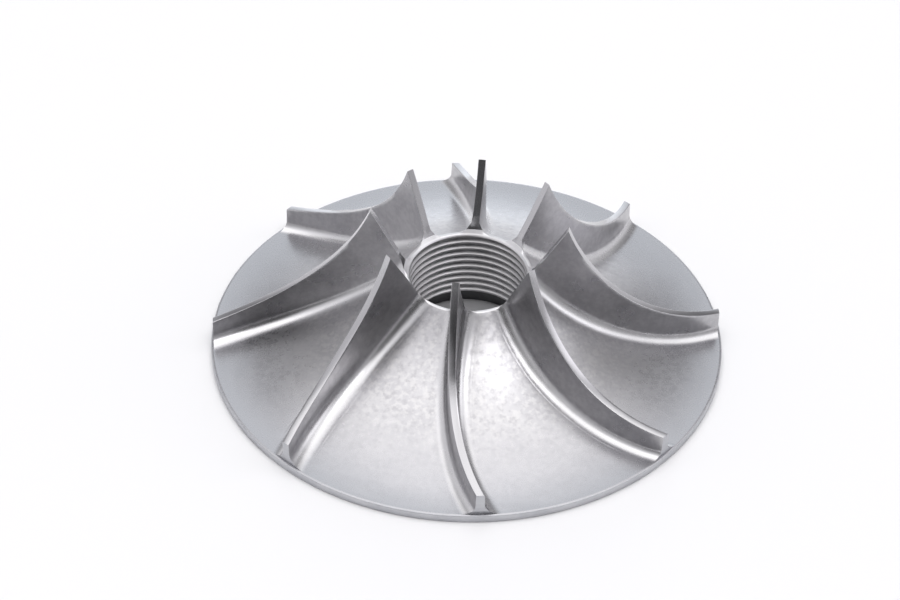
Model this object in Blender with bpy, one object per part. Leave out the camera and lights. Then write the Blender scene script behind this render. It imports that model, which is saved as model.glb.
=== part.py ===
"""Semi-open water pump impeller, one casting turned and threaded after casting.

Lengths are in millimetres and are turned into metres when a vertex is made.
The flat back lies on z = 0, the bore runs along +Z and the vanes stand on the
upper side. Vane 0 starts beside +X and the others follow anticlockwise.
"""
import math

import bmesh
import bpy

MM = 0.001

# Disc and hub flare
DISC_RADIUS = 66.0
RIM_THICKNESS = 2.1
RIM_BEVEL = 0.3
FLARE_RADIUS = 70.0

# Hub rim: a flat turned across the flare, with a 45 degree chamfer down to the thread's crests
HUB_TOP = 23.0
MOUTH_RADIUS = 15.45

# Vanes
VANE_COUNT = 8
VANE_START_RADIUS = 15.65
VANE_TIP_RADIUS = 24.9
VANE_END_RADIUS = 65.3
VANE_HALF_ROOT = 1.05
VANE_HALF_TOP = 0.93
VANE_FILLET = 3.2

# Plan line of a vane: an arc about a point given in the vane's own axes
CAMBER_RADIUS = 72.2
CAMBER_CENTRE_X = 33.56
CAMBER_CENTRE_Y = 68.48

# Top edge of a vane: an arc in the plane of radius and height
SHROUD_RADIUS = 50.62
SHROUD_CENTRE_R = 71.99
SHROUD_CENTRE_Z = 58.48
NOSE_ROOT_RADIUS = 15.7
NOSE_ROOT_Z = 23.5
NOSE_CUT_RADIUS = 16.5

# Threaded bore, 32 mm with a 2 mm pitch, left-handed; a crest crosses the +X side at THREAD_CREST
THREAD_MAJOR = 16.0
THREAD_MINOR = 14.92
THREAD_PITCH = 2.0
THREAD_DEPTH_CUT = 1.3
THREAD_CREST = 0.78
THREAD_END = 22.4
RELIEF_RADIUS = 16.15
RELIEF_TOP = 4.0
RELIEF_BEVEL = 0.3

# Facet counts
NOSE_RINGS = 5
BODY_RINGS = 10
BODY_RING_POWER = 1.25
FILLET_STEPS = 4
FLOOR_POINTS = 5
BORE_POINTS = 40
RIM_POINTS = 96

CENTRE_DISTANCE = math.hypot(CAMBER_CENTRE_X, CAMBER_CENTRE_Y)
CENTRE_ANGLE = math.atan2(CAMBER_CENTRE_Y, CAMBER_CENTRE_X)
SECTOR = 2.0 * math.pi / VANE_COUNT
HUB_FLAT_RADIUS = DISC_RADIUS - math.sqrt(FLARE_RADIUS ** 2 - (RIM_THICKNESS + FLARE_RADIUS - HUB_TOP) ** 2)


def floor_height(radius):
    """Height of the upper surface between two vanes: the flare, or the hub's flat."""
    run = DISC_RADIUS - max(radius, HUB_FLAT_RADIUS)
    return RIM_THICKNESS + FLARE_RADIUS - math.sqrt(FLARE_RADIUS ** 2 - run ** 2)


def floor_cosine(radius):
    """Cosine of the upper surface's slope, eased to level over the hub's flat."""
    run = DISC_RADIUS - max(radius, HUB_FLAT_RADIUS)
    cosine = math.sqrt(FLARE_RADIUS ** 2 - run ** 2) / FLARE_RADIUS
    if radius >= HUB_FLAT_RADIUS:
        return cosine
    share = (HUB_FLAT_RADIUS - radius) / (HUB_FLAT_RADIUS - MOUTH_RADIUS)
    return cosine + (1.0 - cosine) * share


def shroud_height(radius):
    """Height of the vane's top edge outside its tip."""
    run = SHROUD_CENTRE_R - radius
    return SHROUD_CENTRE_Z - math.sqrt(SHROUD_RADIUS ** 2 - run ** 2)


def vane_top(radius):
    """Height of the vane: its edge, its straight slanted nose, and the mouth's chamfer across its foot."""
    if radius >= VANE_TIP_RADIUS:
        return shroud_height(radius)
    if radius <= HUB_FLAT_RADIUS:
        return HUB_TOP + radius - MOUTH_RADIUS
    share = (radius - NOSE_ROOT_RADIUS) / (VANE_TIP_RADIUS - NOSE_ROOT_RADIUS)
    return NOSE_ROOT_Z + share * (shroud_height(VANE_TIP_RADIUS) - NOSE_ROOT_Z)


def vane_angle(radius, offset):
    """Angle at which a line beside the plan arc crosses a circle about the bore."""
    arc = CAMBER_RADIUS - offset
    cosine = (radius ** 2 + CENTRE_DISTANCE ** 2 - arc ** 2) / (2.0 * radius * CENTRE_DISTANCE)
    return CENTRE_ANGLE - math.acos(cosine)


def vane_side(radius):
    """Half of the vane's section at a radius: offset and height from the toe to the top."""
    base = floor_height(radius)
    rise = vane_top(radius) - base
    reach = VANE_FILLET / floor_cosine(radius)
    if rise > reach:
        sweep = 0.5 * math.pi
        steps = FILLET_STEPS
    else:
        sweep = math.acos(1.0 - rise / reach)
        steps = FILLET_STEPS + 1
    points = []
    for step in range(FILLET_STEPS + 1):
        turn = sweep * step / steps
        offset = VANE_HALF_ROOT + VANE_FILLET * (1.0 - math.sin(turn))
        points.append((offset, base + reach * (1.0 - math.cos(turn))))
    if rise > reach:
        points.append((VANE_HALF_TOP, base + rise))
    else:
        offset = VANE_HALF_ROOT + VANE_FILLET * (1.0 - math.sin(sweep))
        points.append((offset, base + rise))
    return points


def add_point(mesh, radius, angle, height):
    """One vertex from cylindrical coordinates."""
    place = (radius * math.cos(angle) * MM, radius * math.sin(angle) * MM, height * MM)
    return mesh.verts.new(place)


def plain_ring(mesh, radius, height, count):
    """A level circle of points as pairs of angle and vertex."""
    ring = []
    for number in range(count):
        angle = 2.0 * math.pi * number / count
        ring.append((angle, add_point(mesh, radius, angle, height)))
    return ring


def vane_ring(mesh, radius):
    """A circle of points that climbs over all the vanes, and its points vane by vane."""
    side = vane_side(radius)
    base = floor_height(radius)
    toe = side[0][0]
    ring = []
    vanes = []
    for number in range(VANE_COUNT):
        turn = number * SECTOR
        rising = [(turn + vane_angle(radius, -offset), height) for offset, height in side]
        falling = [(turn + vane_angle(radius, offset), height) for offset, height in side[::-1]]
        vane = [(angle, add_point(mesh, radius, angle, height)) for angle, height in rising + falling]
        vanes.append(vane)
        ring.extend(vane)
        first = turn + vane_angle(radius, toe)
        last = turn + SECTOR + vane_angle(radius, -toe)
        for step in range(1, FLOOR_POINTS + 1):
            angle = first + (last - first) * step / (FLOOR_POINTS + 1)
            ring.append((angle, add_point(mesh, radius, angle, base)))
    return ring, vanes


def join_equal(mesh, inner, outer):
    """Quads between two circles with the same number of points."""
    count = len(inner)
    for number in range(count):
        after = (number + 1) % count
        mesh.faces.new((inner[number][1], outer[number][1], outer[after][1], inner[after][1]))


def join_unequal(mesh, inner, outer):
    """Triangles between two circles with different numbers of points."""
    full = 2.0 * math.pi
    start = min(range(len(outer)), key=lambda n: abs(outer[n][0] - inner[0][0]))
    outer = outer[start:] + [(angle + full, vert) for angle, vert in outer[:start]]
    inner = inner + [(inner[0][0] + full, inner[0][1])]
    outer = outer + [(outer[0][0] + full, outer[0][1])]
    at_inner = 0
    at_outer = 0
    while at_inner < len(inner) - 1 or at_outer < len(outer) - 1:
        step_inner = at_outer == len(outer) - 1
        if not step_inner and at_inner < len(inner) - 1:
            step_inner = inner[at_inner + 1][0] < outer[at_outer + 1][0]
        first = inner[at_inner][1]
        second = outer[at_outer][1]
        if step_inner:
            at_inner += 1
            mesh.faces.new((first, second, inner[at_inner][1]))
        else:
            at_outer += 1
            mesh.faces.new((first, second, outer[at_outer][1]))


def end_face(mesh, vane):
    """Upright outer end of one vane, as strips between its two sides."""
    half = len(vane) // 2
    for step in range(half - 1):
        low_right = vane[step][1]
        high_right = vane[step + 1][1]
        low_left = vane[-1 - step][1]
        high_left = vane[-2 - step][1]
        mesh.faces.new((low_right, low_left, high_left, high_right))


def build_casting():
    """Disc, hub and vanes as one closed body with a plain bore."""
    mesh = bmesh.new()
    bore_profile = (
        (RELIEF_RADIUS + RELIEF_BEVEL, 0.0),
        (RELIEF_RADIUS, RELIEF_BEVEL),
        (RELIEF_RADIUS, RELIEF_TOP),
        (THREAD_MINOR, RELIEF_TOP),
        (THREAD_MINOR, HUB_TOP + THREAD_MINOR - MOUTH_RADIUS),
        (MOUTH_RADIUS, HUB_TOP),
    )
    hub_rings = [plain_ring(mesh, radius, height, BORE_POINTS) for radius, height in bore_profile]
    for inner, outer in zip(hub_rings, hub_rings[1:]):
        join_equal(mesh, inner, outer)

    radii = [VANE_START_RADIUS, HUB_FLAT_RADIUS]
    for step in range(NOSE_RINGS):
        share = step / NOSE_RINGS
        radii.append(NOSE_CUT_RADIUS + (VANE_TIP_RADIUS - NOSE_CUT_RADIUS) * share ** BODY_RING_POWER)
    for step in range(BODY_RINGS + 1):
        share = step / BODY_RINGS
        radii.append(VANE_TIP_RADIUS + (VANE_END_RADIUS - VANE_TIP_RADIUS) * share ** BODY_RING_POWER)
    rings = [vane_ring(mesh, radius) for radius in radii]
    join_unequal(mesh, hub_rings[-1], rings[0][0])
    for before, after in zip(rings, rings[1:]):
        join_equal(mesh, before[0], after[0])

    last_ring, last_vanes = rings[-1]
    raised = set()
    for vane in last_vanes:
        end_face(mesh, vane)
        raised.update(vert for angle, vert in vane[1:-1])
    edge = [point for point in last_ring if point[1] not in raised]

    rim_profile = (
        (DISC_RADIUS - RIM_BEVEL, RIM_THICKNESS),
        (DISC_RADIUS, RIM_THICKNESS - RIM_BEVEL),
        (DISC_RADIUS, RIM_BEVEL),
        (DISC_RADIUS - RIM_BEVEL, 0.0),
    )
    rim_rings = [plain_ring(mesh, radius, height, RIM_POINTS) for radius, height in rim_profile]
    join_unequal(mesh, rim_rings[0], edge)
    for before, after in zip(rim_rings, rim_rings[1:]):
        join_equal(mesh, before, after)
    join_unequal(mesh, rim_rings[-1], hub_rings[0])
    return mesh


def build_tap():
    """Left-hand threaded rod that cuts the bore, from inside the relief up to the mouth's chamfer."""
    mesh = bmesh.new()
    flank = THREAD_DEPTH_CUT * math.tan(math.radians(30.0))
    flat = 0.5 * THREAD_PITCH - flank
    root = THREAD_MAJOR - THREAD_DEPTH_CUT
    profile = (
        (THREAD_MAJOR, 0.0),
        (THREAD_MAJOR, flat),
        (root, flat + flank),
        (root, 2.0 * flat + flank),
    )
    start = THREAD_CREST + 0.5 * (THREAD_PITCH - flat)
    steps = round((THREAD_END - 0.5 * flat - start) / THREAD_PITCH * BORE_POINTS)
    columns = []
    for step in range(steps + 1):
        angle = -2.0 * math.pi * step / BORE_POINTS
        climb = start + THREAD_PITCH * step / BORE_POINTS
        columns.append([add_point(mesh, radius, angle, climb + height) for radius, height in profile])
    for step in range(steps):
        here = columns[step]
        there = columns[step + 1]
        for row in range(3):
            mesh.faces.new((here[row], there[row], there[row + 1], here[row + 1]))
        if step + BORE_POINTS < steps:
            above = columns[step + BORE_POINTS]
            beyond = columns[step + BORE_POINTS + 1]
            mesh.faces.new((here[3], there[3], beyond[0], above[0]))
    bottom = [column[0] for column in columns[:BORE_POINTS + 1]] + columns[0][:0:-1]
    top = [column[3] for column in columns[steps - BORE_POINTS:]] + columns[steps][2::-1]
    for loop, height in ((bottom, start), (top, THREAD_END + THREAD_PITCH)):
        centre = add_point(mesh, 0.0, 0.0, height)
        for number, vert in enumerate(loop):
            mesh.faces.new((centre, vert, loop[(number + 1) % len(loop)]))
    return mesh


def make_object(name, mesh):
    """Turn a bmesh into an object with all its faces pointing out."""
    bmesh.ops.recalc_face_normals(mesh, faces=mesh.faces)
    data = bpy.data.meshes.new(name)
    mesh.to_mesh(data)
    mesh.free()
    made = bpy.data.objects.new(name, data)
    bpy.context.scene.collection.objects.link(made)
    return made


def steel():
    """Investment cast stainless steel, lightly blasted and satin."""
    material = bpy.data.materials.new("CastStainless")
    material.use_nodes = True
    shader = material.node_tree.nodes["Principled BSDF"]
    shader.inputs["Base Color"].default_value = (0.52, 0.52, 0.53, 1.0)
    shader.inputs["Metallic"].default_value = 1.0
    shader.inputs["Roughness"].default_value = 0.38
    return material


def build():
    """Cut the thread into the casting and finish its shading."""
    for old in list(bpy.data.objects):
        bpy.data.objects.remove(old, do_unlink=True)
    impeller = make_object("impeller", build_casting())
    tap = make_object("thread_cutter", build_tap())
    tap.hide_render = True
    tap.display_type = "WIRE"
    cut = impeller.modifiers.new("Thread", "BOOLEAN")
    cut.operation = "DIFFERENCE"
    cut.solver = "EXACT"
    cut.object = tap
    impeller.data.materials.append(steel())
    for face in impeller.data.polygons:
        face.use_smooth = True
    impeller.data.set_sharp_from_angle(angle=math.radians(34.0))


build()
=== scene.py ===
"""Looks of the water pump impeller: a fine mesh of the casting, its finishes, light and camera."""
import math

import bmesh
import bpy
from mathutils import Matrix, Vector, noise


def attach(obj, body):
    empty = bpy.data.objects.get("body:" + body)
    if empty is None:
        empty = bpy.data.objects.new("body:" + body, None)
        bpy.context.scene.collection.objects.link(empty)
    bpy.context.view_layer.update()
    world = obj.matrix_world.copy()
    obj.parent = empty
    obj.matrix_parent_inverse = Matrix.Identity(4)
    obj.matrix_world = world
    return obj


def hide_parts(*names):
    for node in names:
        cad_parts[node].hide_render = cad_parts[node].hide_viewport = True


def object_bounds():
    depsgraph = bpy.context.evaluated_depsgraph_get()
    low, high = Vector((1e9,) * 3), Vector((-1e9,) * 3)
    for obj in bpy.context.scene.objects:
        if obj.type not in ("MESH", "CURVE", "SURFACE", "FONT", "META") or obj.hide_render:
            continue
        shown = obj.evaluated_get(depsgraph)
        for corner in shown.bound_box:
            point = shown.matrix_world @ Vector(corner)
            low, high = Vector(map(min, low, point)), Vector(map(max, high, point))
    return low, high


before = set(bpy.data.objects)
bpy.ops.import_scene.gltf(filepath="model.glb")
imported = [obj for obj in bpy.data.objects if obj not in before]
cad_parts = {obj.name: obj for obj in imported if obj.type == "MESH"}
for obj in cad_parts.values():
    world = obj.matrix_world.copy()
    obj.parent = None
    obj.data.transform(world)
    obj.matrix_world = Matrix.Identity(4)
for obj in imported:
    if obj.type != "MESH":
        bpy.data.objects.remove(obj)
cad_low, cad_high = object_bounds()

MM = 0.001

# Disc and hub flare, in millimetres as in the CAD
DISC_RADIUS = 66.0
RIM_THICKNESS = 2.1
RIM_BEVEL = 0.3
FLARE_RADIUS = 70.0
HUB_TOP = 23.0
HUB_EDGE_SOFTNESS = 0.08
MOUTH_RADIUS = 15.45

# The rim's bevel is rounded: its middle point stands off the sharp corner by this share of it
BEVEL_ROUNDING = 0.3

# The mouth's chamfer bulges a little; its circles lie at these rises above its foot
CHAMFER_CROWN = 0.05
CHAMFER_RISES = (0.13, 0.28, 0.43)

# Vanes: CAMBER is their arc in plan, and SHROUD the arc of their top edge
VANE_COUNT = 8
VANE_START_RADIUS = 15.6
VANE_TIP_RADIUS = 24.9
VANE_END_RADIUS = 65.3
VANE_HALF_ROOT = 1.05
VANE_HALF_TOP = 0.93
CAMBER_RADIUS = 72.2
CAMBER_CENTRE_X = 33.56
CAMBER_CENTRE_Y = 68.48
SHROUD_RADIUS = 50.62
SHROUD_CENTRE_R = 71.99
SHROUD_CENTRE_Z = 58.48
NOSE_ROOT_RADIUS = 15.7
NOSE_ROOT_Z = 23.5
NOSE_CUT_RADIUS = 17.6
FACET_RADIUS = 16.25

# Width of the root fillets, and their height as a share of it: grinding leaves them a little flat
VANE_FILLET = 3.2
FILLET_RISE = 0.76

# Rounding of a vane's top edges and crown of its land, each at most EDGE_SHARE of what lies below it
VANE_EDGE = 0.12
VANE_CROWN = 0.03
EDGE_SHARE = 0.3

# How far each vane's fillets stray from VANE_FILLET, on the clockwise and the anticlockwise side;
# the difference grows over STRAY_GROWTH from STRAY_START outwards
FILLET_STRAY = (
    (-0.5, 0.0),
    (0.0, 0.0),
    (0.0, 0.0),
    (0.0, -0.2),
    (0.0, 0.4),
    (0.0, 1.1),
    (0.0, 0.6),
    (-0.5, 0.0),
)
STRAY_START = 30.0
STRAY_GROWTH = 14.0

# Seam left by the grinding beside each fillet: distances from the toe with shares of its height, and
# its strength at each vane. It grows from SEAM_START outwards and is gone SEAM_STOP inside the vane's end
SEAM = ((0.2, 0.7), (0.4, 0.1), (0.6, -0.55), (0.8, -0.2), (1.0, 0.0))
SEAM_HEIGHT = 0.035
SEAM_STRENGTH = (0.4, 0.3, 0.3, 0.4, 0.6, 0.8, 0.9, 1.3)
SEAM_START = 17.0
SEAM_GROWTH = 3.0
SEAM_STOP = 3.0
SEAM_DECAY = 8.0

# Beads along the seam: their length, mean and swing, and how far their noise moves on from vane to
# vane, from side to side and with each millimetre beside the vane
BEAD_LENGTH = 1.3
BEAD_LEVEL = 0.62
BEAD_SWING = 0.75
BEAD_VANE_STEP = 7.1
BEAD_SIDE_STEP = 3.3
BEAD_OFFSET_STEP = 0.4

# Waves of the cast faces: depth, length and seed. They fade out towards the hub and the vane ends, and
# nothing moves that lies more than WAVE_RIM_GAP below the rim's upper side
WAVES = ((0.035, 7.0, 1.7), (0.015, 2.6, 4.1))
WAVE_HUB_GAP = 0.4
WAVE_END_GAP = 0.5
WAVE_FADE = 2.0
WAVE_RIM_GAP = 0.01

# Threaded bore, left-handed; a crest crosses the +X side at THREAD_CREST, and the groove ends at
# THREAD_END over THREAD_RUNOUT
THREAD_MAJOR = 16.0
THREAD_MINOR = 14.92
THREAD_PITCH = 2.0
THREAD_CREST = 0.78
THREAD_FLAT = 0.125 * THREAD_PITCH
THREAD_SLOPE = math.tan(math.radians(30.0))
THREAD_END = 22.4
THREAD_RUNOUT = 0.12
RELIEF_RADIUS = 16.15
RELIEF_TOP = 4.0
RELIEF_BEVEL = 0.3

# Mesh counts, and how the vanes' circles are spaced: above 1 they lie closer near the hub
NOSE_RINGS = 26
NOSE_SPACING = 1.2
BODY_RINGS = 92
BODY_SPACING = 1.12
SIDE_STEPS = 20
EDGE_STEPS = 3
LAND_STEPS = 3
FLOOR_POINTS = 15
BORE_POINTS = 160
RIM_POINTS = 384

# The circle just inside the chamfer's cut across the vanes' feet is FACET_GAP from its edge; cast faces up
# to TURNED_REACH outside that edge count as turned; MERGE_DISTANCE is in metres, SHARP_ANGLE in degrees
FACET_GAP = 0.12
TURNED_REACH = 0.02
MERGE_DISTANCE = 1e-7
SHARP_ANGLE = 32.0

# Climb up a vane's section is 0 on the floor, 1 at the top of the fillet, 2 at that of the flank
# and 3 on the land; the cast finish changes over these stretches of it, and the ground stretch along the
# fillets is also paler as a painted highlight
FLOOR_FADE = (0.02, 0.5)
LAND_FADE = (2.2, 2.8)
GROUND_START = (0.0, 0.3)
GROUND_STOP = (0.45, 0.9)

# Distances from the axis between which flecks and grain fade, in metres, and the share that is left; over
# the same stretch the floor's painted sheen near the hub gives way to its darker outer colour
FLECK_FADE = (36.0 * MM, 60.0 * MM)
FLECK_LEFT = 0.1

# Colours of the cast steel; the pairs are the two ends of a mix. BLASTED near the hub is paler than
# OUTER_FLOOR farther out: a painted sheen.
# The ground colour is the steel bared by grinding, made paler also as a painted highlight along the
# fillets
BLASTED = ((0.535, 0.530, 0.545), (0.595, 0.590, 0.60))
OUTER_FLOOR = (0.475, 0.474, 0.492)
DARK_SPECK = (0.44, 0.435, 0.45)
PALE_FLECK = (0.67, 0.662, 0.66)
SPECK_STRENGTH = 0.6
FLANK = ((0.45, 0.445, 0.46), (0.56, 0.555, 0.565))
LAND = (0.53, 0.527, 0.54)
GROUND_AND_HIGHLIGHT = (0.70, 0.697, 0.705)

# Roughness of the cast steel and of the turned rings, and how much each part differs from it
FLOOR_ROUGH = (0.22, 0.30)
FLANK_ROUGH = (0.26, 0.33)
RING_SMOOTHER = 0.05
RING_ROUGHER = 0.07
FLECKED_ROUGHER = 0.06
GROUND_SMOOTHER = 0.02
LAND_SMOOTHER = 0.13

# Turned and cut surfaces: dull colour, bright colour, roughness and how far the shine is drawn out
# The hub's colours are far paler than turned steel alone: turned steel with a painted highlight, standing
# in for the white glint on the mouth's chamfer.
TURNED_HUB_AND_HIGHLIGHT = ((0.78, 0.775, 0.785), (0.86, 0.86, 0.865), 0.40, 0.5)
TURNED_RIM = ((0.48, 0.485, 0.51), (0.56, 0.565, 0.585), 0.44, 0.4)
# The relief's colours are far darker than the other turned steel: painted shade deep in the recess below
# the thread.
TURNED_RELIEF_PAINTED_SHADE = ((0.12, 0.12, 0.125), (0.17, 0.17, 0.175), 0.5, 0.4)
THREAD_STEEL = ((0.56, 0.555, 0.565), (0.64, 0.635, 0.645))
THREAD_ROUGH = (0.34, 0.46)

# Noise sizes, in cycles a metre
CAST_GRAIN = 2600.0
CAST_MOTTLE = 620.0
CAST_CLOUD = 95.0
CAST_FLECK = 850.0
LATHE_FINE = 5200.0
LATHE_BAND = 900.0
TURNED_CLOUD = 140.0
THREAD_CLOUD = 300.0
THREAD_GRAIN = 3000.0

# Stretches of each noise over which its mix runs from one end to the other, and the strength of the
# fine detail in the mottle and in the other noises
CLOUD_STRETCH = (0.35, 0.68)
SPECK_STRETCH = (0.46, 0.68)
FLECK_STRETCH = (0.44, 0.66)
FLANK_STRETCH = (0.75, 1.3)
MOTTLE_ROUGH_STRETCH = (0.3, 0.75)
ROUGH_STRETCH = (0.3, 0.7)
TURNED_STRETCH = (0.8, 1.25)
THREAD_STRETCH = (0.35, 0.7)
MOTTLE_SHARPNESS = 0.6
PLAIN_SHARPNESS = 0.55

# Bumps: strength, and depth in metres
MOTTLE_BUMP = (0.10, 0.00012)
GRAIN_BUMP = (0.14, 0.00004)
LATHE_BUMP = (0.35, 0.00003)
THREAD_BUMP = (0.3, 0.00003)

# Table: half its side and its gap below the disc in metres, and its shade close under the disc,
# which ends between these shares of the disc's radius
TABLE_HALF = 3.0
TABLE_GAP = 0.00005
TABLE_SHADED = (0.42, 0.42, 0.43)
TABLE_WHITE = (0.86, 0.86, 0.865)
TABLE_SHADE_END = (0.3, 0.9)
TABLE_ROUGH = 0.9

# Light: brightness of the tent's walls from the camera side round to the back, and of its ceiling.
# WALL_LEAN darkens the right side, WALL_GAP the stretch between the sides and the window; WALL_LOW is
# extra light near the table; CEILING_BACK and CEILING_TILT make the ceiling brighter and lower at the back
WALL_FRONT = 0.07
WALL_NEAR = 0.43
WALL_SIDE = 0.26
WALL_LEAN = -0.21
WALL_GAP = 0.48
WALL_LOW = 0.09
WALL_LEAST = 0.02
WINDOW = 0.76
CEILING = 1.48
CEILING_BACK = 0.40
CEILING_TILT = 0.07
CEILING_EDGE = (0.73, 0.92)

# Stretches over which the walls change: facing is -1 at the camera side and 1 at the back, and lift is
# 0 at the table and 1 overhead; LEVEL_LEAST keeps facing finite overhead
NEAR_FACING = (-0.985, -0.78)
SIDE_FACING = (-0.6, -0.05)
GAP_FACING = (0.38, 0.57)
GAP_LIFT = (0.1, 0.58)
WINDOW_FACING = (0.90, 1.0)
LOW_LIFT = (0.1, 0.5)
LEVEL_LEAST = 0.001

# Tints of the walls, the window and the ceiling
WALL_TINT = (0.975, 0.965, 1.0)
WINDOW_TINT = (0.91, 0.95, 1.0)
CEILING_TINT = (1.0, 0.99, 1.0)

# Soft boxes: azimuth from the back towards the right, lift, outer and inner half angle, all in
# degrees, and brightness
SOFTBOXES = (
    (127.0, 59.0, 23.0, 0.0, 0.3),
    (-126.5, 50.0, 37.0, 0.0, 0.4),
    (135.5, 62.0, 16.0, 0.0, 1.7),
    (88.5, 29.0, 24.0, 0.0, 1.05),
)

# Lamp over the table, which metal doesn't mirror: watts and metres
TABLE_FILL = 4.95
TABLE_FILL_SIZE = 1.6
TABLE_FILL_HEIGHT = 1.5

# Camera: sensor and lens in millimetres, nearest view in metres and angles in degrees; its distance
# and the point it looks at are in disc radii
SENSOR_WIDTH = 36.0
LENS = 91.75
NEAREST = 0.01
CAMERA_DISTANCE = 9.2198
CAMERA_LIFT = 40.332
CAMERA_ROLL = 1.0137
CAMERA_TARGET = (-0.0675, 0.2389, 0.0)

# Values that follow from the ones above
CENTRE_DISTANCE = math.hypot(CAMBER_CENTRE_X, CAMBER_CENTRE_Y)
CENTRE_ANGLE = math.atan2(CAMBER_CENTRE_Y, CAMBER_CENTRE_X)
SECTOR = 2.0 * math.pi / VANE_COUNT
FLARE_RUN = math.sqrt(FLARE_RADIUS ** 2 - (RIM_THICKNESS + FLARE_RADIUS - HUB_TOP) ** 2)
HUB_FLAT_RADIUS = DISC_RADIUS - FLARE_RUN
CHAMFER_LOW = HUB_TOP + THREAD_MINOR - MOUTH_RADIUS

# Places of the finishes in the piece's list of materials
CAST, TURNED, THREAD, RIM, RELIEF = 0, 1, 2, 3, 4


def floor_height(radius):
    """Height of the upper surface between two vanes: the flare, and the hub's flat with a soft edge."""
    run = DISC_RADIUS - radius
    flare = RIM_THICKNESS + FLARE_RADIUS - math.sqrt(FLARE_RADIUS ** 2 - run ** 2)
    above = flare - HUB_TOP
    return flare - 0.5 * (above + math.hypot(above, HUB_EDGE_SOFTNESS))


def floor_cosine(radius):
    """Cosine of the upper surface's slope, eased to level over the hub's flat."""
    run = DISC_RADIUS - max(radius, HUB_FLAT_RADIUS)
    cosine = math.sqrt(FLARE_RADIUS ** 2 - run ** 2) / FLARE_RADIUS
    if radius >= HUB_FLAT_RADIUS:
        return cosine
    share = (HUB_FLAT_RADIUS - radius) / (HUB_FLAT_RADIUS - MOUTH_RADIUS)
    return cosine + (1.0 - cosine) * share


def shroud_height(radius):
    """Height of the vane's top edge outside its tip."""
    run = SHROUD_CENTRE_R - radius
    return SHROUD_CENTRE_Z - math.sqrt(SHROUD_RADIUS ** 2 - run ** 2)


def vane_top(radius):
    """Height of the vane: its edge, its straight slanted nose, and the mouth's chamfer across its foot."""
    if radius >= VANE_TIP_RADIUS:
        return shroud_height(radius)
    share = (max(radius, NOSE_CUT_RADIUS) - NOSE_ROOT_RADIUS) / (VANE_TIP_RADIUS - NOSE_ROOT_RADIUS)
    nose = NOSE_ROOT_Z + share * (shroud_height(VANE_TIP_RADIUS) - NOSE_ROOT_Z)
    facet = HUB_TOP + min(radius, FACET_RADIUS) - MOUTH_RADIUS
    climb = (radius - FACET_RADIUS) / (NOSE_CUT_RADIUS - FACET_RADIUS)
    return facet + (nose - facet) * min(max(climb, 0.0), 1.0)


def vane_angle(radius, offset):
    """Angle at which a line beside the plan arc crosses a circle about the bore."""
    arc = CAMBER_RADIUS - offset
    cosine = (radius ** 2 + CENTRE_DISTANCE ** 2 - arc ** 2) / (2.0 * radius * CENTRE_DISTANCE)
    return CENTRE_ANGLE - math.acos(cosine)


def fillet_width(number, side, radius):
    """Width of one vane's root fillet on one side: 0 clockwise, 1 anticlockwise."""
    outer = min(max((radius - STRAY_START) / STRAY_GROWTH, 0.0), 1.0)
    return VANE_FILLET + FILLET_STRAY[number % VANE_COUNT][side] * outer


def vane_side(radius, fillet):
    """Half of a vane's section: offset, height and climb from the toe to the middle of the top."""
    base = floor_height(radius)
    rise = vane_top(radius) - base
    reach = FILLET_RISE * fillet / floor_cosine(radius)
    bare = max(rise - reach, 0.0)
    sweep = 0.5 * math.pi if bare > 0.0 else math.acos(1.0 - rise / reach)
    curved = 0.5 * (fillet + reach) * sweep
    share = max(0.5, curved / (curved + bare))
    edge = min(VANE_EDGE, EDGE_SHARE * bare)
    points = []
    for step in range(SIDE_STEPS + 1):
        along = step / SIDE_STEPS
        if along <= share:
            turn = sweep * along / share
            offset = VANE_HALF_ROOT + fillet * (1.0 - math.sin(turn))
            points.append((offset, base + reach * (1.0 - math.cos(turn)), turn / (0.5 * math.pi)))
        else:
            up = (along - share) / (1.0 - share)
            offset = VANE_HALF_ROOT + (VANE_HALF_TOP - VANE_HALF_ROOT) * up
            points.append((offset, base + reach + (bare - edge) * up, 1.0 + up))
    crown = min(VANE_CROWN, EDGE_SHARE * edge)
    half, shoulder = points[-1][:2]
    for step in range(1, EDGE_STEPS + 1):
        turn = 0.5 * math.pi * step / EDGE_STEPS
        height = shoulder + (edge - crown) * math.sin(turn)
        points.append((half - edge * (1.0 - math.cos(turn)), height, 2.0 + step / EDGE_STEPS))
    half = half - edge
    for step in range(1, LAND_STEPS + 1):
        out = 1.0 - step / LAND_STEPS
        points.append((half * out, shoulder + edge - crown * out ** 2, 3.0))
    return points


def seam_rise(number, offset, radius, share):
    """Height of the beaded seam beside one vane, at a radius and a share of its full height."""
    side = 1.0 if offset > 0.0 else -1.0
    across = number * BEAD_VANE_STEP + side * BEAD_SIDE_STEP
    place = Vector((radius / BEAD_LENGTH, across, BEAD_OFFSET_STEP * offset))
    beads = BEAD_LEVEL + BEAD_SWING * noise.noise(place)
    growth = max(0.0, (radius - SEAM_START) / SEAM_GROWTH)
    decay = max(0.0, (VANE_END_RADIUS - SEAM_STOP - radius) / SEAM_DECAY)
    return SEAM_HEIGHT * SEAM_STRENGTH[number] * share * beads * min(1.0, growth, decay)


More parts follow.
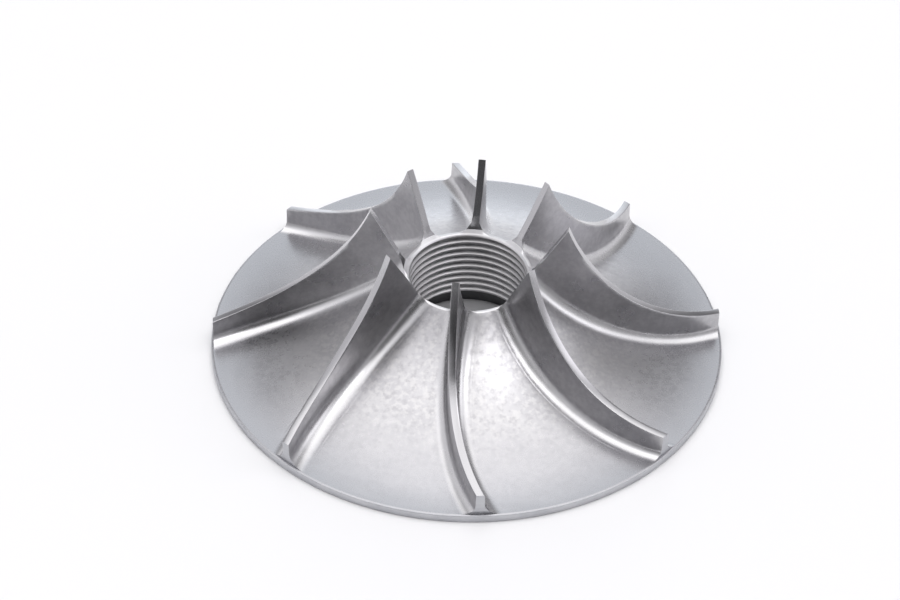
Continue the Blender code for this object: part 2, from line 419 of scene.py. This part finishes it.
class Skin:
    """A mesh in the making, with each vertex's climb up a vane's section kept."""

    def __init__(self):
        self.mesh = bmesh.new()
        self.climb = self.mesh.verts.layers.float.new("climb")

    def point(self, radius, angle, height, climb=0.0):
        """One vertex from cylindrical coordinates in millimetres."""
        vert = self.mesh.verts.new(
            (radius * math.cos(angle) * MM, radius * math.sin(angle) * MM, height * MM))
        vert[self.climb] = climb
        return vert

    def face(self, corners, finish):
        """One face with its finish."""
        made = self.mesh.faces.new(corners)
        made.material_index = finish
        made.smooth = True

    def ring(self, radius, height, count):
        """A level circle of points as pairs of angle and vertex."""
        turn = 2.0 * math.pi / count
        return [(turn * number, self.point(radius, turn * number, height)) for number in range(count)]

    def join_equal(self, inner, outer, finish):
        """Quads between two circles with the same number of points."""
        count = len(inner)
        for number in range(count):
            after = (number + 1) % count
            self.face((inner[number][1], outer[number][1], outer[after][1], inner[after][1]), finish)

    def join_unequal(self, inner, outer, finish):
        """Triangles between two circles with different numbers of points."""
        full = 2.0 * math.pi
        start = min(range(len(outer)), key=lambda n: abs(outer[n][0] - inner[0][0]))
        outer = outer[start:] + [(angle + full, vert) for angle, vert in outer[:start]]
        inner = inner + [(inner[0][0] + full, inner[0][1])]
        outer = outer + [(outer[0][0] + full, outer[0][1])]
        at_inner = 0
        at_outer = 0
        while at_inner < len(inner) - 1 or at_outer < len(outer) - 1:
            step_inner = at_outer == len(outer) - 1
            if not step_inner and at_inner < len(inner) - 1:
                step_inner = inner[at_inner + 1][0] < outer[at_outer + 1][0]
            first = inner[at_inner][1]
            second = outer[at_outer][1]
            if step_inner:
                at_inner += 1
                self.face((first, second, inner[at_inner][1]), finish)
            else:
                at_outer += 1
                self.face((first, second, outer[at_outer][1]), finish)

    def vane_ring(self, radius):
        """A circle of points that climbs over all the vanes, and its points vane by vane."""
        base = floor_height(radius)
        ring = []
        vanes = []
        for number in range(VANE_COUNT):
            turn = number * SECTOR
            right, left = (vane_side(radius, fillet_width(number, side, radius)) for side in (0, 1))
            rising = [(-offset, height, climb) for offset, height, climb in right]
            falling = [(offset, height, climb) for offset, height, climb in left[-2::-1]]
            vane = []
            for offset, height, climb in rising + falling:
                angle = turn + vane_angle(radius, offset)
                vane.append((angle, self.point(radius, angle, height, climb)))
            vanes.append(vane)
            ring.extend(vane)
            before = self.seam(number, radius, base, 1.0)
            after = self.seam(number + 1, radius, base, -1.0)
            first = before[-1][0]
            last = after[0][0]
            ring.extend(before)
            for step in range(1, FLOOR_POINTS + 1):
                angle = first + (last - first) * step / (FLOOR_POINTS + 1)
                ring.append((angle, self.point(radius, angle, base)))
            ring.extend(after)
        return ring, vanes

    def seam(self, number, radius, base, side):
        """Points of the ground seam on one side of a vane, in the order of their angles."""
        toe = VANE_HALF_ROOT + fillet_width(number, 1 if side > 0.0 else 0, radius)
        points = []
        for beyond, share in SEAM:
            offset = side * (toe + beyond)
            angle = number * SECTOR + vane_angle(radius, offset)
            height = base + seam_rise(number % VANE_COUNT, offset, radius, share)
            points.append((angle, self.point(radius, angle, height)))
        return points if side > 0.0 else points[::-1]

    def end_face(self, vane):
        """Upright outer end of one vane, as strips between its two sides."""
        half = len(vane) // 2
        for step in range(half):
            corners = [vane[step][1], vane[-1 - step][1], vane[-2 - step][1], vane[step + 1][1]]
            if corners[2] is corners[3]:
                corners.pop()
            self.face(corners, RIM)


def thread_radius(height, angle):
    """Radius of the bore wall where the thread is cut; its last groove runs out below the mouth."""
    groove = THREAD_CREST + THREAD_PITCH * (0.5 - angle / (2.0 * math.pi))
    groove = groove + THREAD_PITCH * round((height - groove) / THREAD_PITCH)
    rise = max(abs(height - groove) - 0.5 * THREAD_FLAT, 0.0) / THREAD_SLOPE
    depth = max(THREAD_MAJOR - THREAD_MINOR - rise, 0.0)
    left = min(max((THREAD_END - groove) / THREAD_RUNOUT, 0.0), 1.0)
    return THREAD_MINOR + depth * left


def add_thread(skin):
    """Helical wall of the bore; returns its lowest and highest circles, both level.

    The points follow the helix; the spare turns below and above are pressed into the two circles.
    """
    flank = (THREAD_MAJOR - THREAD_MINOR) * THREAD_SLOPE
    crest = THREAD_PITCH - THREAD_FLAT - 2.0 * flank
    top = THREAD_FLAT + flank
    marks = [0.0, 0.5 * THREAD_FLAT, THREAD_FLAT, THREAD_FLAT + 0.5 * flank, top, top + 0.5 * crest,
             top + crest, top + crest + 0.5 * flank]
    shift = len(marks)
    base = THREAD_CREST - 0.5 * (THREAD_PITCH + THREAD_FLAT)
    low_turn = math.floor(RELIEF_TOP / THREAD_PITCH) - 1
    high_turn = math.ceil(CHAMFER_LOW / THREAD_PITCH) + 3
    rows = (high_turn - low_turn) * shift
    grid = []
    for number in range(BORE_POINTS):
        angle = 2.0 * math.pi * number / BORE_POINTS
        start = base - THREAD_PITCH * number / BORE_POINTS
        column = []
        for turn in range(low_turn, high_turn):
            for mark in marks:
                height = min(max(turn * THREAD_PITCH + mark + start, RELIEF_TOP), CHAMFER_LOW)
                column.append(skin.point(thread_radius(height, angle), angle, height))
        grid.append(column)
    for number in range(BORE_POINTS):
        here = grid[number]
        there = grid[(number + 1) % BORE_POINTS]
        fall = shift if number + 1 == BORE_POINTS else 0
        for row in range(fall, rows - 1):
            skin.face((here[row], there[row - fall], there[row - fall + 1], here[row + 1]), THREAD)
    turn = 2.0 * math.pi / BORE_POINTS
    low = [(turn * number, column[0]) for number, column in enumerate(grid)]
    high = [(turn * number, column[-1]) for number, column in enumerate(grid)]
    return low, high


def chamfer_ring(skin, height):
    """A level circle on the mouth's chamfer, which the topmost groove may notch."""
    share = (height - CHAMFER_LOW) / (HUB_TOP - CHAMFER_LOW)
    bulge = CHAMFER_CROWN * math.sin(math.pi * share)
    cone = THREAD_MINOR + (MOUTH_RADIUS - THREAD_MINOR) * share - bulge
    ring = []
    for number in range(BORE_POINTS):
        angle = 2.0 * math.pi * number / BORE_POINTS
        radius = max(cone, thread_radius(height, angle))
        ring.append((angle, skin.point(radius, angle, height)))
    return ring


def vane_radii():
    """Radii of the circles over the vanes, from the mouth to the vanes' outer ends."""
    radii = [
        VANE_START_RADIUS,
        0.5 * (VANE_START_RADIUS + FACET_RADIUS),
        FACET_RADIUS - FACET_GAP,
        FACET_RADIUS,
        0.5 * (FACET_RADIUS + NOSE_CUT_RADIUS),
    ]
    for step in range(NOSE_RINGS):
        share = step / NOSE_RINGS
        radii.append(NOSE_CUT_RADIUS + (VANE_TIP_RADIUS - NOSE_CUT_RADIUS) * share ** NOSE_SPACING)
    for step in range(BODY_RINGS + 1):
        share = step / BODY_RINGS
        radii.append(VANE_TIP_RADIUS + (VANE_END_RADIUS - VANE_TIP_RADIUS) * share ** BODY_SPACING)
    return radii


def add_rim(skin, edge):
    """The disc's rim, outside the given circle of points; returns the rim's lowest circle."""
    eased = BEVEL_ROUNDING * RIM_BEVEL
    profile = (
        (DISC_RADIUS - RIM_BEVEL, RIM_THICKNESS),
        (DISC_RADIUS - eased, RIM_THICKNESS - eased),
        (DISC_RADIUS, RIM_THICKNESS - RIM_BEVEL),
        (DISC_RADIUS, RIM_BEVEL),
        (DISC_RADIUS - eased, eased),
        (DISC_RADIUS - RIM_BEVEL, 0.0),
    )
    rim = [skin.ring(radius, height, RIM_POINTS) for radius, height in profile]
    skin.join_unequal(rim[0], edge, CAST)
    for before, after in zip(rim, rim[1:]):
        skin.join_equal(before, after, RIM)
    return rim[-1]


def add_back(skin, rim_low, thread_low):
    """The flat back and the plain relief below the thread."""
    profile = (
        (RELIEF_RADIUS + RELIEF_BEVEL, 0.0),
        (RELIEF_RADIUS, RELIEF_BEVEL),
        (RELIEF_RADIUS, RELIEF_TOP - RELIEF_BEVEL),
        (RELIEF_RADIUS - RELIEF_BEVEL, RELIEF_TOP),
    )
    back = [skin.ring(radius, height, BORE_POINTS) for radius, height in profile]
    skin.join_unequal(rim_low, back[0], RIM)
    for before, after in zip(back, back[1:]):
        skin.join_equal(before, after, RELIEF)
    skin.join_equal(back[-1], thread_low, RELIEF)


def ripple(place, length, seed):
    """Smooth random number near -1 to 1 at a place in millimetres."""
    return noise.noise(place / length + Vector((seed, 2.0 * seed, 3.0 * seed)))


def cast_unevenness(mesh):
    """Gentle waves that a casting keeps on its blasted faces; none rises above the CAD's top."""
    mesh.normal_update()
    moves = []
    for vert in mesh.verts:
        place = vert.co / MM
        radius = math.hypot(place.x, place.y)
        from_hub = radius - HUB_FLAT_RADIUS - WAVE_HUB_GAP
        from_end = VANE_END_RADIUS - WAVE_END_GAP - radius
        if from_hub < 0.0 or from_end < 0.0 or place.z < RIM_THICKNESS - WAVE_RIM_GAP:
            continue
        if not any(face.material_index == CAST for face in vert.link_faces):
            continue
        fade = min(1.0, from_end / WAVE_FADE, from_hub / WAVE_FADE)
        depth = sum(height * ripple(place, length, seed) for height, length, seed in WAVES)
        moves.append((vert, vert.normal * depth * fade * MM))
    for vert, move in moves:
        vert.co += move
        vert.co.z = min(vert.co.z, cad_high[2])


def build_skin():
    """The whole casting as one closed mesh."""
    skin = Skin()
    low, high = add_thread(skin)
    mouth = [high] + [chamfer_ring(skin, CHAMFER_LOW + rise) for rise in CHAMFER_RISES]
    mouth.append(skin.ring(MOUTH_RADIUS, floor_height(MOUTH_RADIUS), BORE_POINTS))
    for before, after in zip(mouth, mouth[1:]):
        skin.join_equal(before, after, TURNED)
    rings = [skin.vane_ring(radius) for radius in vane_radii()]
    skin.join_unequal(mouth[-1], rings[0][0], CAST)
    for before, after in zip(rings, rings[1:]):
        skin.join_equal(before[0], after[0], CAST)
    last_ring, last_vanes = rings[-1]
    raised = set()
    for vane in last_vanes:
        skin.end_face(vane)
        raised.update(vert for angle, vert in vane[1:-1])
    edge = [point for point in last_ring if point[1] not in raised]
    add_back(skin, add_rim(skin, edge), low)
    bmesh.ops.remove_doubles(skin.mesh, verts=skin.mesh.verts, dist=MERGE_DISTANCE)
    bmesh.ops.recalc_face_normals(skin.mesh, faces=skin.mesh.faces)
    turned_radius = (FACET_RADIUS + TURNED_REACH) * MM
    for face in skin.mesh.faces:
        inside = all(vert.co.xy.length < turned_radius for vert in face.verts)
        if face.material_index == CAST and inside:
            face.material_index = TURNED
    cast_unevenness(skin.mesh)
    return skin.mesh


def shader_tree(name):
    """A new node material: its tree and its main shader."""
    material = bpy.data.materials.new(name)
    material.use_nodes = True
    tree = material.node_tree
    return material, tree, tree.nodes["Principled BSDF"]


def object_place(tree):
    """Place on the piece, in metres."""
    return tree.nodes.new("ShaderNodeTexCoord").outputs["Object"]


def add_noise(tree, scale, detail, vector, sharpness=PLAIN_SHARPNESS):
    """Noise texture; scale is in cycles a metre, and sharpness is the strength of its fine detail."""
    node = tree.nodes.new("ShaderNodeTexNoise")
    node.inputs["Scale"].default_value = scale
    node.inputs["Detail"].default_value = detail
    node.inputs["Roughness"].default_value = sharpness
    tree.links.new(vector, node.inputs["Vector"])
    return node.outputs["Fac"]


def add_range(tree, value, low, high, to_low=0.0, to_high=1.0, smooth=True):
    """Map a value from one range to another, clamped."""
    node = tree.nodes.new("ShaderNodeMapRange")
    node.interpolation_type = "SMOOTHSTEP" if smooth else "LINEAR"
    node.inputs["From Min"].default_value = low
    node.inputs["From Max"].default_value = high
    node.inputs["To Min"].default_value = to_low
    node.inputs["To Max"].default_value = to_high
    tree.links.new(value, node.inputs["Value"])
    return node.outputs["Result"]


def add_math(tree, operation, first, second=None):
    """Math node; each input is a socket or a number."""
    node = tree.nodes.new("ShaderNodeMath")
    node.operation = operation
    for number, value in enumerate((first, second)):
        if value is None:
            continue
        if isinstance(value, (int, float)):
            node.inputs[number].default_value = value
        else:
            tree.links.new(value, node.inputs[number])
    return node.outputs[0]


def plus(tree, first, second):
    """Sum of two sockets or numbers."""
    return add_math(tree, "ADD", first, second)


def minus(tree, first, second):
    """Difference of two sockets or numbers."""
    return add_math(tree, "SUBTRACT", first, second)


def times(tree, first, second):
    """Product of two sockets or numbers."""
    return add_math(tree, "MULTIPLY", first, second)


def add_length(tree, first, second):
    """Length of a level vector from its two parts."""
    return add_math(tree, "SQRT", plus(tree, times(tree, first, first), times(tree, second, second)))


def add_mix(tree, factor, first, second):
    """Blend two colours; each is a socket or three numbers."""
    node = tree.nodes.new("ShaderNodeMix")
    node.data_type = "RGBA"
    tree.links.new(factor, node.inputs["Factor"])
    for name, value in (("A", first), ("B", second)):
        socket = [item for item in node.inputs if item.name == name and item.type == "RGBA"][0]
        if isinstance(value, tuple):
            socket.default_value = (*value, 1.0)
        else:
            tree.links.new(value, socket)
    return [item for item in node.outputs if item.type == "RGBA"][0]


def add_bump(tree, height, strength, distance, normal=None):
    """Bump from a height; distance is in metres."""
    node = tree.nodes.new("ShaderNodeBump")
    node.inputs["Strength"].default_value = strength
    node.inputs["Distance"].default_value = distance
    tree.links.new(height, node.inputs["Height"])
    if normal is not None:
        tree.links.new(normal, node.inputs["Normal"])
    return node.outputs["Normal"]


def add_attribute(tree, name):
    """A number kept on the mesh."""
    node = tree.nodes.new("ShaderNodeAttribute")
    node.attribute_name = name
    return node.outputs["Fac"]


def axis_distance(tree, place):
    """Distance from the bore's axis, and the height."""
    parts = tree.nodes.new("ShaderNodeSeparateXYZ")
    tree.links.new(place, parts.inputs["Vector"])
    return add_length(tree, parts.outputs["X"], parts.outputs["Y"]), parts.outputs["Z"]


def lathe_lines(tree, place, scale):
    """Fine rings about the bore's axis, from the distance to it and the height."""
    away, height = axis_distance(tree, place)
    line = tree.nodes.new("ShaderNodeCombineXYZ")
    tree.links.new(away, line.inputs["X"])
    tree.links.new(height, line.inputs["Z"])
    return add_noise(tree, scale, 2.0, line.outputs["Vector"])


def cast_floor_colour(tree, place, cloud, mottle, inner):
    """Blasted floor: clouded, with dark specks and pale flecks near the hub and plainer farther out; paler
    near the hub as a painted sheen.
    """
    bare = add_mix(tree, add_range(tree, cloud, *CLOUD_STRETCH), *BLASTED)
    speck = times(tree, inner, add_range(tree, mottle, *SPECK_STRETCH))
    fleck_noise = add_noise(tree, CAST_FLECK, 2.0, place)
    fleck = times(tree, inner, add_range(tree, fleck_noise, *FLECK_STRETCH))
    colour = add_mix(tree, times(tree, speck, SPECK_STRENGTH), bare, DARK_SPECK)
    colour = add_mix(tree, times(tree, fleck, SPECK_STRENGTH), colour, PALE_FLECK)
    # Paler near the hub than farther out: painted sheen.
    return add_mix(tree, inner, OUTER_FLOOR, colour)


def cast_material():
    """Blasted cast stainless steel, ground along the vane roots and on the vane edges, with a painted
    highlight in the paler ground band along the roots.
    """
    material, tree, shader = shader_tree("cast_stainless")
    place = object_place(tree)
    climb = add_attribute(tree, "climb")
    shader.inputs["Metallic"].default_value = 1.0

    grain = add_noise(tree, CAST_GRAIN, 3.0, place)
    mottle = add_noise(tree, CAST_MOTTLE, 3.0, place, MOTTLE_SHARPNESS)
    cloud = add_noise(tree, CAST_CLOUD, 4.0, place)
    on_floor = add_range(tree, climb, *FLOOR_FADE, 1.0, 0.0)
    on_land = add_range(tree, climb, *LAND_FADE)
    below = add_range(tree, climb, *GROUND_STOP, 1.0, 0.0)
    ground = times(tree, add_range(tree, climb, *GROUND_START), below)
    inner = add_range(tree, axis_distance(tree, place)[0], *FLECK_FADE, 1.0, FLECK_LEFT)

    flank_tone = add_range(tree, plus(tree, cloud, mottle), *FLANK_STRETCH)
    flank_colour = add_mix(tree, flank_tone, *FLANK)
    floor_colour = cast_floor_colour(tree, place, cloud, mottle, inner)
    colour = add_mix(tree, on_floor, flank_colour, floor_colour)
    colour = add_mix(tree, on_land, colour, LAND)
    # Ground steel along the fillets, painted paler also as a highlight band.
    colour = add_mix(tree, ground, colour, GROUND_AND_HIGHLIGHT)
    tree.links.new(colour, shader.inputs["Base Color"])

    floor_rough = add_range(tree, mottle, *MOTTLE_ROUGH_STRETCH, *FLOOR_ROUGH, False)
    flank_rough = add_range(tree, cloud, *ROUGH_STRETCH, *FLANK_ROUGH, False)
    floor_rough = plus(tree, floor_rough, times(tree, inner, FLECKED_ROUGHER))
    flank_part = times(tree, flank_rough, minus(tree, 1.0, on_floor))
    rough = plus(tree, times(tree, floor_rough, on_floor), flank_part)
    rough = minus(tree, rough, times(tree, ground, GROUND_SMOOTHER))
    rough = minus(tree, rough, times(tree, on_land, LAND_SMOOTHER))
    tree.links.new(rough, shader.inputs["Roughness"])

    normal = add_bump(tree, times(tree, mottle, inner), *MOTTLE_BUMP)
    normal = add_bump(tree, times(tree, grain, inner), *GRAIN_BUMP, normal)
    tree.links.new(normal, shader.inputs["Normal"])
    return material


def turned_material(name, dull, bright, rough, spread):
    """Steel turned on a lathe: fine rings, and a shine that is drawn out round the axis."""
    material, tree, shader = shader_tree(name)
    place = object_place(tree)
    shader.inputs["Metallic"].default_value = 1.0
    shader.inputs["Anisotropic"].default_value = spread
    round_axis = tree.nodes.new("ShaderNodeTangent")
    round_axis.direction_type = "RADIAL"
    round_axis.axis = "Z"
    tree.links.new(round_axis.outputs["Tangent"], shader.inputs["Tangent"])
    lines = lathe_lines(tree, place, LATHE_FINE)
    tone = plus(tree, add_noise(tree, TURNED_CLOUD, 3.0, place), lathe_lines(tree, place, LATHE_BAND))
    colour = add_mix(tree, add_range(tree, tone, *TURNED_STRETCH), dull, bright)
    tree.links.new(colour, shader.inputs["Base Color"])
    low_rough = rough - RING_SMOOTHER
    high_rough = rough + RING_ROUGHER
    ring_rough = add_range(tree, lines, *ROUGH_STRETCH, low_rough, high_rough, False)
    tree.links.new(ring_rough, shader.inputs["Roughness"])
    tree.links.new(add_bump(tree, lines, *LATHE_BUMP), shader.inputs["Normal"])
    return material


def thread_material():
    """Cut thread: fine-grained steel, a little uneven in tone and shine."""
    material, tree, shader = shader_tree("cut_thread")
    place = object_place(tree)
    shader.inputs["Metallic"].default_value = 1.0
    cloud = add_noise(tree, THREAD_CLOUD, 3.0, place)
    colour = add_mix(tree, add_range(tree, cloud, *THREAD_STRETCH), *THREAD_STEEL)
    tree.links.new(colour, shader.inputs["Base Color"])
    rough = add_range(tree, cloud, *ROUGH_STRETCH, *THREAD_ROUGH, False)
    tree.links.new(rough, shader.inputs["Roughness"])
    fine = add_noise(tree, THREAD_GRAIN, 2.0, place)
    tree.links.new(add_bump(tree, fine, *THREAD_BUMP), shader.inputs["Normal"])
    return material


def dress():
    """The fine casting in place of the CAD node."""
    mesh = build_skin()
    data = bpy.data.meshes.new("impeller_casting")
    mesh.to_mesh(data)
    mesh.free()
    # The hub's pale colours hold a painted highlight on the chamfer besides the turned steel.
    hub = turned_material("turned_hub_and_highlight", *TURNED_HUB_AND_HIGHLIGHT)
    rim = turned_material("turned_rim", *TURNED_RIM)
    # The relief's dark colours are painted shade in the recess.
    relief = turned_material("turned_relief_painted_shade", *TURNED_RELIEF_PAINTED_SHADE)
    for material in (cast_material(), hub, thread_material(), rim, relief):
        data.materials.append(material)
    piece = bpy.data.objects.new("impeller_casting", data)
    bpy.context.scene.collection.objects.link(piece)
    data.set_sharp_from_angle(angle=math.radians(SHARP_ANGLE))
    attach(piece, "root")
    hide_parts("impeller")


def white_floor():
    """Seamless white table, in its own shade close under the disc."""
    mesh = bmesh.new()
    signs = ((-1, -1), (1, -1), (1, 1), (-1, 1))
    corners = [mesh.verts.new((x * TABLE_HALF, y * TABLE_HALF, 0.0)) for x, y in signs]
    mesh.faces.new(corners)
    data = bpy.data.meshes.new("table")
    mesh.to_mesh(data)
    mesh.free()
    material, tree, shader = shader_tree("white_table")
    away = tree.nodes.new("ShaderNodeVectorMath")
    away.operation = "LENGTH"
    tree.links.new(object_place(tree), away.inputs[0])
    start, stop = (share * DISC_RADIUS * MM for share in TABLE_SHADE_END)
    open_table = add_range(tree, away.outputs["Value"], start, stop)
    colour = add_mix(tree, open_table, TABLE_SHADED, TABLE_WHITE)
    tree.links.new(colour, shader.inputs["Base Color"])
    shader.inputs["Roughness"].default_value = TABLE_ROUGH
    data.materials.append(material)
    floor = bpy.data.objects.new("table", data)
    floor.location.z = -TABLE_GAP
    bpy.context.scene.collection.objects.link(floor)


def direction(azimuth, lift):
    """Unit vector at an azimuth from the back and a lift above the table, in degrees."""
    turn = math.radians(azimuth)
    level = math.cos(math.radians(lift))
    return math.sin(turn) * level, math.cos(turn) * level, math.sin(math.radians(lift))


def tent_walls(tree, east, facing, up, window):
    """Brightness of the tent's walls."""
    wall = add_range(tree, facing, *NEAR_FACING, WALL_FRONT, WALL_FRONT + WALL_NEAR)
    lean = plus(tree, 1.0, times(tree, east, WALL_LEAN))
    sides = times(tree, lean, add_range(tree, facing, *SIDE_FACING, 0.0, WALL_SIDE))
    wall = plus(tree, wall, sides)
    gap_depth = add_range(tree, up, *GAP_LIFT, 0.0, WALL_GAP)
    wall = minus(tree, wall, times(tree, add_range(tree, facing, *GAP_FACING), gap_depth))
    wall = plus(tree, wall, times(tree, window, WINDOW))
    wall = plus(tree, wall, add_range(tree, up, *LOW_LIFT, WALL_LOW, 0.0))
    return add_math(tree, "MAXIMUM", wall, WALL_LEAST)


def studio():
    """White tent: a bright ceiling, a lit window behind, paler walls at the sides, a dark camera side."""
    world = bpy.data.worlds.new("studio")
    bpy.context.scene.world = world
    world.use_nodes = True
    tree = world.node_tree
    back = tree.nodes["Background"]
    way = tree.nodes.new("ShaderNodeTexCoord").outputs["Generated"]
    parts = tree.nodes.new("ShaderNodeSeparateXYZ")
    tree.links.new(way, parts.inputs["Vector"])
    east, north, up = (parts.outputs[name] for name in "XYZ")
    level_part = add_math(tree, "MAXIMUM", add_length(tree, east, north), LEVEL_LEAST)
    facing = add_math(tree, "DIVIDE", north, level_part)

    window = add_range(tree, facing, *WINDOW_FACING)
    wall = tent_walls(tree, east, facing, up, window)
    cover = add_range(tree, plus(tree, up, times(tree, north, CEILING_TILT)), *CEILING_EDGE)
    ceiling = plus(tree, CEILING, times(tree, north, CEILING_BACK))
    level = plus(tree, wall, times(tree, cover, minus(tree, ceiling, wall)))
    for azimuth, lift, outer, inner, strength in SOFTBOXES:
        towards = tree.nodes.new("ShaderNodeVectorMath")
        towards.operation = "DOT_PRODUCT"
        towards.inputs[1].default_value = direction(azimuth, lift)
        tree.links.new(way, towards.inputs[0])
        start, stop = (math.cos(math.radians(angle)) for angle in (outer, inner))
        box = add_range(tree, towards.outputs["Value"], start, stop, 0.0, strength)
        level = plus(tree, level, box)
    tree.links.new(level, back.inputs["Strength"])
    tint = add_mix(tree, window, WALL_TINT, WINDOW_TINT)
    tree.links.new(add_mix(tree, cover, tint, CEILING_TINT), back.inputs["Color"])

    light = bpy.data.lights.new("table_fill", "AREA")
    light.size = TABLE_FILL_SIZE
    light.energy = TABLE_FILL
    lamp = bpy.data.objects.new("table_fill", light)
    lamp.location = (0.0, 0.0, TABLE_FILL_HEIGHT)
    lamp.visible_glossy = False
    bpy.context.scene.collection.objects.link(lamp)


def camera():
    """The photograph's view, solved from the rim and the vane tips."""
    data = bpy.data.cameras.new("camera")
    data.sensor_width = SENSOR_WIDTH
    data.lens = LENS
    data.clip_start = NEAREST
    eye = bpy.data.objects.new("camera", data)
    distance = CAMERA_DISTANCE * DISC_RADIUS * MM
    lift = math.radians(CAMERA_LIFT)
    target = Vector(CAMERA_TARGET) * DISC_RADIUS * MM
    back = Vector((0.0, -math.cos(lift), math.sin(lift)))
    right = Vector((1.0, 0.0, 0.0))
    up = back.cross(right)
    roll = math.radians(CAMERA_ROLL)
    turned_right = math.cos(roll) * right + math.sin(roll) * up
    turned_up = -math.sin(roll) * right + math.cos(roll) * up
    turn = Matrix((turned_right, turned_up, back)).transposed()
    eye.matrix_world = Matrix.Translation(target + distance * back) @ turn.to_4x4()
    bpy.context.scene.collection.objects.link(eye)
    bpy.context.scene.camera = eye


camera()
dress()
white_floor()
studio()
bpy.context.scene.view_settings.view_transform = "Standard"
